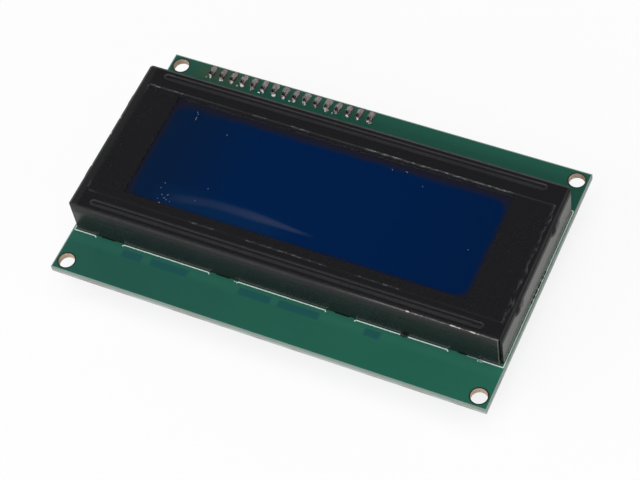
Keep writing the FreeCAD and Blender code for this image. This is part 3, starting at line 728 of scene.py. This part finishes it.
def dress(node: str, finish: Finish) -> None:
    """Gives a CAD node its finish."""
    coat(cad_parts[node].data, finish)


def placed(name: str, data: bpy.types.ID) -> Object:
    """A new object of the scene, at the frame's origin."""
    made = bpy.data.objects.new(name, data)
    bpy.context.scene.collection.objects.link(made)
    return made


def mesh_from(name: str, shape: bmesh.types.BMesh) -> Mesh:
    """The mesh of a finished shape, which is freed."""
    mesh = bpy.data.meshes.new(name)
    shape.to_mesh(mesh)
    shape.free()
    return mesh


def add_piece(
    name: str, mesh: Mesh, finish: Optional[Finish] = None
) -> Object:
    """Puts a finished mesh into the scene as a piece of the module.

    Args:
        name: the piece's name.
        mesh: its mesh, in the row's frame and in metres.
        finish: its finish, where the mesh has none yet.

    Returns:
        The new object, which rides on the module's body.
    """
    if finish is not None:
        coat(mesh, finish)
    piece = placed(name, mesh)
    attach(piece, BODY)
    return piece


@dataclass(frozen=True)
class Blob:
    """Sizes of one poured or melted blob, in millimetres, standing on the plane z = 0."""

    length: float
    width: float
    height: float
    skirt: float = 0.08
    peak_y: float = 0.0
    peak_spread: float = 1.0
    square: float = 1.0
    taper: float = 0.0
    wobble: float = 0.0
    seed: float = 0.0


class BlobMaker:
    """Geometry nodes that make solder, epoxy and creases: a rounded plan and one soft peak."""

    SIZES = tuple(size.name for size in fields(Blob))
    SEGMENTS = 28
    RINGS = 16
    WOBBLE_GRAIN = 0.55

    def __init__(self) -> None:
        """Builds the node tree once."""
        self.tree = bpy.data.node_groups.new("poured_blob", "GeometryNodeTree")
        face = self.tree.interface
        face.new_socket(name="Geometry", in_out="OUTPUT", socket_type="NodeSocketGeometry")
        for name in self.SIZES:
            face.new_socket(name=name, in_out="INPUT", socket_type="NodeSocketFloat")
        face.new_socket(name="finish", in_out="INPUT", socket_type="NodeSocketMaterial")
        self._build(Graph(self.tree))

    def _build(self, graph: Graph) -> None:
        """Squares the plan of a ball, flattens its lower half and lifts its top to the peak."""
        entry = graph.node("NodeGroupInput")
        size = {name: graph.sibling(entry, name) for name in self.SIZES}
        ball_sizes = {"Segments": self.SEGMENTS, "Rings": self.RINGS, "Radius": 1.0}
        ball = graph.node("GeometryNodeMeshUVSphere", ball_sizes)
        x, y, z = graph.split(graph.node("GeometryNodeInputPosition"))
        flank = 1.0 + size["taper"] * y
        plan_x = x.math("SIGN") * abs(x) ** size["square"] * size["width"] * 0.5 * flank
        plan_y = y.math("SIGN") * abs(y) ** size["square"] * size["length"] * 0.5
        from_peak = plan_y - size["peak_y"]
        spread = size["peak_spread"] * size["peak_spread"]
        peak = (-((plan_x * plan_x + from_peak * from_peak) / spread)).math("EXPONENT")
        where = graph.join(plan_x, plan_y, size["seed"])
        noise_sockets = {"Vector": where, "Scale": 1.0 / self.WOBBLE_GRAIN, "Detail": 1.0}
        uneven = graph.node("ShaderNodeTexNoise", noise_sockets) - 0.5
        swell = 1.0 + uneven * size["wobble"]
        rise = (size["skirt"] + (size["height"] - size["skirt"]) * peak) * swell
        dome = z.math("MAXIMUM", 0.0) ** 0.5
        shaped = graph.join(plan_x * swell, plan_y, rise * dome)
        metres = graph.node("ShaderNodeVectorMath", {0: shaped, "Scale": MM}, operation="SCALE")
        moved = graph.node("GeometryNodeSetPosition", {"Geometry": ball, "Position": metres})
        smooth = graph.node("GeometryNodeSetShadeSmooth", {0: moved, "Shade Smooth": True})
        solid = graph.node("GeometryNodeRealizeInstances", {0: smooth})
        sockets = {"Geometry": solid, "Material": graph.sibling(entry, "finish")}
        graph.node("NodeGroupOutput", {0: graph.node("GeometryNodeSetMaterial", sockets)})

    def make(
        self, blob: Blob, finish: Finish, spot: Point, turn: float = 0.0, below: bool = False
    ) -> Mesh:
        """Makes one blob on a face of the board.

        Args:
            blob: its sizes.
            finish: its finish.
            spot: where it stands, in millimetres.
            turn: how far it is turned about Z, in radians.
            below: whether it hangs upside down.

        Returns:
            A plain mesh in the row's frame.
        """
        carrier = placed("blob_carrier", bpy.data.meshes.new("blob_carrier"))
        modifier = carrier.modifiers.new("blob", "NODES")
        modifier.node_group = self.tree
        values = {**dict(zip(self.SIZES, astuple(blob))), "finish": finish.material()}
        for item in self.tree.interface.items_tree:
            if item.in_out == "INPUT":
                modifier[item.identifier] = values[item.name]
        bpy.context.view_layer.update()
        evaluated = carrier.evaluated_get(bpy.context.evaluated_depsgraph_get())
        mesh = bpy.data.meshes.new_from_object(evaluated)
        bpy.data.objects.remove(carrier)
        flip = Matrix.Rotation(math.pi if below else 0.0, 4, "X")
        mesh.transform(Matrix.Translation(Vector(spot) * MM) @ Matrix.Rotation(turn, 4, "Z") @ flip)
        return mesh


def joined(name: str, meshes: Sequence[Mesh]) -> Mesh:
    """One mesh from several that share a finish."""
    merged = bmesh.new()
    materials = list(meshes[0].materials)
    for mesh in meshes:
        merged.from_mesh(mesh)
        bpy.data.meshes.remove(mesh)
    result = mesh_from(name, merged)
    for material in materials:
        result.materials.append(material)
    return result


class StrokeMaker:
    """Thin raised strokes of ink, each a closed bar that follows a straight line or an arc."""

    def __init__(self, width: float, height: float, base: float, below: bool = False) -> None:
        """Keeps the strokes' section and the face that they lie on, in millimetres."""
        self.width = width
        self.height = -height if below else height
        self.base = base
        self.mesh = bmesh.new()

    def line(self, points: Sequence[Place], closed: bool = False) -> None:
        """Adds one stroke along points, with mitred corners.

        Args:
            points: places on the board, in millimetres.
            closed: whether the stroke comes back to its start.
        """
        path = [Vector(point).to_3d() for point in points]
        count = len(path)
        rings = []
        for index, point in enumerate(path):
            before = path[index - 1] if index or closed else None
            after = path[(index + 1) % count] if index < count - 1 or closed else None
            steps = [(b - a).normalized() for a, b in ((before, point), (point, after)) if a and b]
            ahead = sum(steps, Vector()).normalized()
            stretch = 1 / max(0.3, ahead.dot(steps[0]))
            aside = Vector((-ahead.y, ahead.x, 0)) * (self.width / 2 * stretch)
            corners = []
            for side, level in ((-1, 0), (1, 0), (1, self.height), (-1, self.height)):
                spot = point + aside * side + Vector((0, 0, self.base + level))
                corners.append(self.mesh.verts.new(spot * MM))
            rings.append(corners)
        pairs = zip(rings, rings[1:] + (rings[:1] if closed else []))
        for first, second in pairs:
            for index in range(4):
                follow = (index + 1) % 4
                self.mesh.faces.new((first[index], first[follow], second[follow], second[index]))
        if not closed:
            self.mesh.faces.new(rings[0])
            self.mesh.faces.new(rings[-1][::-1])

    def ring(self, centre: Place, radius: float, steps: int = 72) -> None:
        """Adds a closed circle."""
        x, y = centre
        angles = [2 * math.pi * step / steps for step in range(steps)]
        self.line([(x + radius * math.cos(a), y + radius * math.sin(a)) for a in angles], True)

    def add(self, name: str, finish: Finish) -> None:
        """Adds the strokes as one piece, with its faces outwards."""
        bmesh.ops.recalc_face_normals(self.mesh, faces=self.mesh.faces)
        add_piece(name, mesh_from(name, self.mesh), finish)


@dataclass
class PieceGroup:
    """A group of pieces that is built as one, with poured shapes from a shared maker."""

    blobs: BlobMaker

    def build(self) -> None:
        """Makes the group's pieces."""
        raise NotImplementedError


@dataclass
class BoardFront(PieceGroup):
    """The printing round the bezel, and the dark lumps of paint at the bezel's foot."""

    line_width: float = 0.22
    ink_height: float = 0.03
    outline_half: Place = (48.6, 19.9)
    gap_centres: Tuple[float, ...] = (-40.1, -13.3, 13.3, 40.1)
    gap_half: float = 3.5
    hook: float = 0.36
    foot: Blob = Blob(0.9, 1.7, 0.7, 0.2, 0.0, 0.8, 0.7, 0.0, 0.2)
    foot_spot: Point = (27.3, -19.8, 0.0)
    ooze: Blob = Blob(1.3, 0.34, 0.16, 0.08, 0.0, 0.8, 0.8, 0.0, 0.8)
    # Dark lumps where paint dried between the right-hand wall and the board, along Y.
    ooze_x: float = 48.44
    ooze_levels: Tuple[float, ...] = (-3.8, -2.4, -1.1, 0.4, 1.2, 2.5, 3.7)
    ooze_length: float = 0.7
    ooze_step: float = 0.25
    thin_share: float = 0.65
    thin_stroke: Tuple[Place, Place] = ((40.8, -19.8), (43.3, -19.85))
    smudges: Sequence[Place] = (
        (43.5, -19.95), (43.4, -20.1), (43.6, -20.22), (-10.9, -19.95), (-10.8, -20.1),
    )
    smudge_length: float = 0.7

    def build(self) -> None:
        """Prints the outlines and adds the lumps at the bezel's foot."""
        ink = StrokeMaker(self.line_width, self.ink_height, 0.0)
        half_x, half_y = self.outline_half
        starts = [-half_x] + [centre + self.gap_half for centre in self.gap_centres]
        ends = [centre - self.gap_half for centre in self.gap_centres] + [half_x]
        for side in (-1, 1):
            y = side * half_y
            hooked = y + side * self.hook
            for start, end in zip(starts, ends):
                points = [(start, y), (end, y)]
                if start > -half_x:
                    points.insert(0, (start - self.hook, hooked))
                if end < half_x:
                    points.append((end + self.hook, hooked))
                ink.line(points)
            ink.line([(side * half_x, -half_y), (side * half_x, half_y)])
        thin = StrokeMaker(self.line_width * self.thin_share, self.ink_height, 0.0)
        thin.line(self.thin_stroke)
        for x, y in self.smudges:
            thin.line([(x, y), (x + self.smudge_length, y)])
        ink.add("printed_outline", Finishes.INK.value)
        thin.add("faint_printing", Finishes.THIN_INK.value)
        paint_finish = Finishes.BLACK_PAINT.value
        lumps = [self.blobs.make(self.foot, paint_finish, self.foot_spot)]
        for index, y in enumerate(self.ooze_levels):
            length = self.ooze_length + self.ooze_step * (index * 5 % 4)
            ooze = replace(self.ooze, length=length, seed=index * 2.0)
            lumps.append(self.blobs.make(ooze, paint_finish, (self.ooze_x, y, 0.0)))
        add_piece("bezel_foot", joined("bezel_foot", lumps))


@dataclass
class PlainSolids:
    """The CAD nodes that keep their own shape and only take a finish."""

    nodes: Tuple[Tuple[Finishes, Tuple[str, ...]], ...] = (
        (Finishes.LAMINATE, ("circuit_board",)),
        (Finishes.BLACK_PAINT, ("bezel",)),
        (Finishes.DISPLAY, ("front_polarizer", "rear_polarizer")),
        (Finishes.GLASS, ("front_glass", "rear_glass")),
        (Finishes.SEAL, ("glass_seal",)),
        (Finishes.SHEET, ("diffuser_sheet", "reflector_sheet")),
        (Finishes.GUIDE, ("light_guide",)),
        (Finishes.TRAY, ("backlight_frame",)),
        (Finishes.LED_BOARD, ("backlight_board",)),
        (Finishes.LED, ("backlight_led_1", "backlight_led_2")),
        (Finishes.LEAD, ("backlight_lead_1", "backlight_lead_2")),
        (Finishes.RUBBER, ("elastomer_front", "elastomer_back")),
        (Finishes.STRIP, ("header_strip",)),
        (Finishes.PIN, tuple(f"header_pin_{way:02d}" for way in range(1, WAYS + 1))),
    )

    def build(self) -> None:
        """Gives each node its finish."""
        for finish, nodes in self.nodes:
            for node in nodes:
                dress(node, finish.value)
        LOG.info("solids dressed: %d finishes", len(self.nodes))


@dataclass
class ProtectiveFilm(PieceGroup):
    """The clear film left on the bezel's face, creased and lifting at one corner."""

    size: Place = (93.3, 29.7)
    columns: int = 186
    rows: int = 60
    turn: float = math.radians(-0.3)
    rim: float = 0.24
    ripple: float = 0.03
    curl_reach: float = 4.0
    curl_height: float = 0.15
    clip: float = 1.0
    thickness: float = 0.05
    clearance: float = 0.01
    rim_strength: float = 0.8
    # The creases are opaque light grey: painted glints of the clear film's creases.
    # Each crease has its place, its length as a multiple of the sample's, and its turn.
    crease: Blob = Blob(0.8, 0.16, 0.08, 0.03, 0.0, 0.4, 1.0, 0.0, 0.6)
    creases: Tuple[Tuple[float, float, float, float], ...] = (
        (-32.2, 9.3, 1.3, 0.1), (-32.6, 10.9, 0.5, 1.2), (-32.3, 10.5, 0.5, 0.3),
        (-24.0, 7.5, 0.5, 0.0), (15.5, 11.5, 0.7, 1.2), (12.5, 11.0, 0.6, 1.0),
        (20.0, 9.2, 0.5, 0.5), (34.5, -2.0, 0.35, 0.0), (-31.0, -8.0, 0.5, 1.3),
        (-31.3, -9.4, 0.3, 0.0), (-29.1, -10.6, 0.6, 2.4), (-30.3, -10.9, 0.5, 0.7),
        (-28.9, -11.8, 0.4, 0.2), (-30.0, -12.9, 0.6, 1.4), (-29.5, -11.5, 0.5, 1.9),
        (-28.0, -12.0, 0.3, 1.0), (-21.8, -6.3, 0.4, 0.0), (-23.0, -10.0, 0.4, 1.2),
        (-30.8, -12.1, 0.3, 0.5),
    )

    def _point(self, along: float, across: float, base: Vector) -> Vector:
        """A point of the sheet, by shares of its length and width, round a base in millimetres."""
        length, width = self.size
        x, y = (along - 0.5) * length, (across - 0.5) * width
        wave = 0.2 * math.sin(y * 0.9 + 4.3) + 0.07 * math.sin(y * 2.3)
        x += (0.2 + wave - 0.03 * min(0.0, y)) * max(0.0, along * 6 - 5)
        if x < 0:
            clip = self.clip * (0.5 if y > 0 else 1.0)
            y -= math.copysign(max(0.0, abs(x) + abs(y) - (length + width) / 2 + clip), y)
        turned = Matrix.Rotation(self.turn, 2) @ Vector((x, y))
        ripple = self.ripple * (0.5 + 0.5 * math.sin(x * 0.31 + 2.1 * math.sin(y * 0.23)))
        lifted = max(0.0, 1 - math.hypot(x + length / 2, y - width / 2) / self.curl_reach)
        height = ripple + self.curl_height * lifted ** 2
        return base + Vector((turned.x, turned.y, height))

    def build(self) -> None:
        """Makes the sheet, lets it stand for the CAD film and adds its small creases."""
        low, high, middle = node_box("protective_film")
        base = Vector((middle.x, middle.y, low.z + self.clearance))
        sheet = bmesh.new()
        layer = sheet.verts.layers.float.new(FilmFinish.rim_attribute)
        grid = []
        length, width = self.size
        for row in range(self.rows + 1):
            line = []
            for column in range(self.columns + 1):
                along, across = column / self.columns, row / self.rows
                vert = sheet.verts.new(self._point(along, across, base) * MM)
                to_edge = min(min(along, 1 - along) * length, min(across, 1 - across) * width)
                vert[layer] = self.rim_strength if to_edge < self.rim else 0.0
                line.append(vert)
            grid.append(line)
        for lower, upper in zip(grid, grid[1:]):
            for index in range(self.columns):
                corners = (lower[index], lower[index + 1], upper[index + 1], upper[index])
                sheet.faces.new(corners).smooth = True
        mesh = mesh_from("film_sheet", sheet)
        film = add_piece("film_sheet", mesh, Finishes.FILM.value)
        thicken = film.modifiers.new("thickness", "SOLIDIFY")
        thicken.thickness = self.thickness * MM
        thicken.offset = 1.0
        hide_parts("protective_film")
        marks = []
        for index, (x, y, length, turn) in enumerate(self.creases):
            crease = replace(self.crease, length=self.crease.length * length, seed=float(index))
            spot = (x, y, high.z + 2 * self.clearance)
            marks.append(self.blobs.make(crease, Finishes.CREASE.value, spot, turn))
        add_piece("film_creases", joined("film_creases", marks))


@dataclass
class Header(PieceGroup):
    """The hand-soldered joints of the header's pins, and the drops of solder beside them."""

    joint: Blob = Blob(3.0, 1.45, 0.72, 0.25, -0.35, 0.9, 0.75, 0.4, 1.0)
    joint_spans: Tuple[Tuple[str, Place], ...] = (
        ("length", (-0.25, 0.1)),
        ("width", (-0.25, 0.25)),
        ("height", (-0.15, 0.1)),
        ("peak_y", (-0.1, 0.25)),
        ("taper", (-0.3, 0.2)),
    )
    joint_turn: Place = (-0.12, 0.08)
    foot: Blob = Blob(0.75, 0.95, 0.42, 0.1, 0.0, 0.5, 0.8, -0.2, 0.7)
    foot_widths: Place = (0.45, 1.1)
    foot_lengths: Place = (0.6, 1.0)
    foot_turn: Place = (-0.3, 0.9)
    foot_aside: Place = (-0.25, 0.25)
    foot_place: Place = (0.25, -1.5)
    drop: Blob = Blob(0.45, 0.5, 0.2, 0.06, peak_spread=0.3, wobble=0.6)
    drops: Sequence[Place] = (
        (-39.7, 26.35), (-32.1, 26.4), (-26.8, 26.3), (-19.4, 26.4), (-9.2, 26.5),
    )
    seed: int = 7

    def build(self) -> None:
        """Melts a joint round each pin and lets a few drops fall beside them."""
        solder = Finishes.SOLDER.value
        chance = random.Random(self.seed)
        for way in range(1, WAYS + 1):
            node = f"solder_joint_{way:02d}"
            x, y, _ = node_box(node)[2]
            sizes = {"seed": way * 3.0}
            for name, span in self.joint_spans:
                sizes[name] = getattr(self.joint, name) + chance.uniform(*span)
            joint = replace(self.joint, **sizes)
            parts = [self.blobs.make(joint, solder, (x, y, 0.0), chance.uniform(*self.joint_turn))]
            width, length = chance.uniform(*self.foot_widths), chance.uniform(*self.foot_lengths)
            foot = replace(self.foot, width=width, length=length, seed=way * 7.0)
            turn, aside = chance.uniform(*self.foot_turn), chance.uniform(*self.foot_aside)
            spot = (x + self.foot_place[0] + aside, y + self.foot_place[1], 0.0)
            parts.append(self.blobs.make(foot, solder, spot, turn))
            name = f"header_joint_{way:02d}"
            piece = add_piece(name, joined(name, parts))
            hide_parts(node)
        drops = [
            self.blobs.make(replace(self.drop, seed=index * 2.0), solder, (x, y, 0.0))
            for index, (x, y) in enumerate(self.drops)
        ]
        add_piece("solder_drops", joined("solder_drops", drops))


@dataclass
class RearParts(PieceGroup):
    """Driver chips under epoxy, chip parts and the lead joints on the rear face."""

    rear: float = -1.6
    chips: int = 3
    dome_skirt: float = 0.5
    dome_spread: float = 0.42
    dome_wobble: float = 0.06
    chip_parts: Tuple[Tuple[str, Colour], ...] = (
        *((f"resistor_{index}", paint(24, 24, 26)) for index in (1, 2, 3)),
        *((f"capacitor_{index}", paint(150, 116, 84)) for index in (1, 2)),
    )
    lead_joint: Blob = Blob(2.0, 2.0, 1.1, 0.12, peak_spread=0.55, square=0.9, wobble=0.3)
    ring_gap: float = 0.9
    ring_width: float = 0.25
    ink_height: float = 0.03

    def build(self) -> None:
        """Makes the epoxy domes and joints, and dresses the chip parts."""
        ink = StrokeMaker(self.ring_width, self.ink_height, self.rear, True)
        for index in range(1, self.chips + 1):
            node = f"driver_chip_{index}"
            low, high, (x, y, _) = node_box(node)
            across = high.x - low.x
            dome = Blob(
                across, across, high.z - low.z, self.dome_skirt,
                peak_spread=across * self.dome_spread, wobble=self.dome_wobble, seed=index * 5.0,
            )
            mesh = self.blobs.make(dome, Finishes.EPOXY.value, (x, y, self.rear), below=True)
            piece = add_piece(f"epoxy_dome_{index}", mesh)
            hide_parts(node)
            ink.ring((x, y), across / 2 + self.ring_gap)
        ink.add("rear_printing", Finishes.INK.value)
        for node, colour in self.chip_parts:
            dress(node, ChipPartFinish(f"chip_{node}", colour, 0.4, middle=node_box(node)[2].x))
        for index in (1, 2):
            x, y, _ = node_box(f"backlight_lead_{index}")[2]
            joint = replace(self.lead_joint, seed=index * 11.0)
            mesh = self.blobs.make(joint, Finishes.SOLDER.value, (x, y, self.rear), below=True)
            add_piece(f"lead_joint_{index}", mesh)


@dataclass
class Studio:
    """White floor, a world that is bright at the horizon and dim overhead, and two soft lamps."""

    floor_level: float = -10.14
    floor_radius: float = 3000.0
    horizon: float = 1.0
    overhead: float = 0.01
    gloss_loss: float = 0.35
    unlit_shares: Point = (0.82, 0.85, 0.85)
    lamps: Tuple[Tuple[str, Point, float, float], ...] = (
        ("soft_overhead", (0.1, -0.15, 0.9), 0.7, 6.5),
        ("soft_front", (-0.5, -0.7, 0.6), 0.6, 3.0),
    )

    def _floor_material(self) -> Material:
        """White floor that keeps a faint shadow and that gloss and glass see as white."""
        made = bpy.data.materials.new("pale_floor")
        made.use_nodes = True
        graph = MaterialGraph(made.node_tree)
        tone = graph.blend(graph.cloud(40, 2), (0.93, 0.93, 0.93, 1), (0.95, 0.95, 0.95, 1))
        lit = graph.node("ShaderNodeBsdfDiffuse", {"Color": tone})
        camera = graph.node("ShaderNodeLightPath", output="Is Camera Ray")
        glossy = graph.sibling(camera, "Is Glossy Ray")
        through = graph.sibling(camera, "Is Transmission Ray")
        strength = 1.0 - glossy * self.gloss_loss
        glow = graph.node("ShaderNodeEmission", {"Color": WHITE, "Strength": strength})
        for_camera, for_gloss, for_glass = self.unlit_shares
        share = camera * for_camera + glossy * for_gloss + through * for_glass
        floor = graph.node("ShaderNodeMixShader", {0: share, 1: lit, 2: glow})
        graph.node("ShaderNodeOutputMaterial", {"Surface": floor})
        return made

    def _world(self) -> None:
        """White for the camera; for light and gloss, bright low down and dim overhead."""
        world = bpy.data.worlds.new("studio")
        world.use_nodes = True
        bpy.context.scene.world = world
        graph = Graph(world.node_tree)
        up = graph.split(graph.node("ShaderNodeTexCoord", output="Generated"))[2]
        level = self.overhead + up.ease(0.62, 0.3) * (self.horizon - self.overhead)
        camera = graph.node("ShaderNodeLightPath", output="Is Camera Ray")
        sockets = {"Color": WHITE, "Strength": level | camera}
        back = graph.node("ShaderNodeBackground", sockets)
        graph.node("ShaderNodeOutputWorld", {"Surface": back})

    def _lamp(self, name: str, place: Point, size: float, power: float) -> None:
        """A square soft lamp that looks at the module and doesn't show in its gloss."""
        data = bpy.data.lights.new(name, "AREA")
        data.shape = "SQUARE"
        data.size = size
        data.energy = power
        lamp = placed(name, data)
        lamp.location = Vector(place)
        lamp.rotation_euler = (-Vector(place)).to_track_quat("-Z", "Y").to_euler()
        lamp.visible_glossy = False

    def build(self) -> None:
        """Sets the stage."""
        disc = bmesh.new()
        bmesh.ops.create_circle(disc, cap_ends=True, segments=96, radius=self.floor_radius * MM)
        bmesh.ops.translate(disc, vec=(0, 0, self.floor_level * MM), verts=disc.verts)
        mesh = mesh_from("floor", disc)
        mesh.materials.append(self._floor_material())
        floor = placed("floor", mesh)
        self._world()
        for lamp in self.lamps:
            self._lamp(*lamp)
        bpy.context.scene.view_settings.view_transform = "Standard"
        LOG.info("studio set")


@dataclass
class PhotoCamera:
    """The photograph's camera: where it looks, from which side, how far off and how tilted."""

    target: Point = (1.829, -4.566, 0.0)
    azimuth: float = math.radians(33.449)
    elevation: float = math.radians(55.564)
    roll: float = math.radians(-11.232)
    distance: float = 437.22
    lens: float = 118.33
    sensor: float = 36.0

    def build(self) -> None:
        """Creates the camera and makes it the scene's own."""
        turn = Matrix.Rotation(self.azimuth, 4, "Z")
        turn = turn @ Matrix.Rotation(math.pi / 2 - self.elevation, 4, "X")
        turn = turn @ Matrix.Rotation(self.roll, 4, "Z")
        back = turn @ Vector((0, 0, self.distance))
        data = bpy.data.cameras.new("photo_camera")
        data.sensor_width = self.sensor
        data.lens = self.lens
        data.clip_start = 0.01
        camera = placed("photo_camera", data)
        camera.matrix_world = Matrix.Translation((Vector(self.target) + back) * MM) @ turn
        bpy.context.scene.camera = camera
        LOG.info("camera placed")


def main() -> None:
    """Builds the studio and every sub-assembly in order."""
    logging.basicConfig(level=logging.INFO, format="%(name)s: %(message)s")
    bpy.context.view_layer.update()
    PhotoCamera().build()
    Studio().build()
    blobs = BlobMaker()
    PlainSolids().build()
    for group in (BoardFront, ProtectiveFilm, Header, RearParts):
        group(blobs).build()
        LOG.info("%s built", group.__name__)


if __name__ == "__main__":
    main()
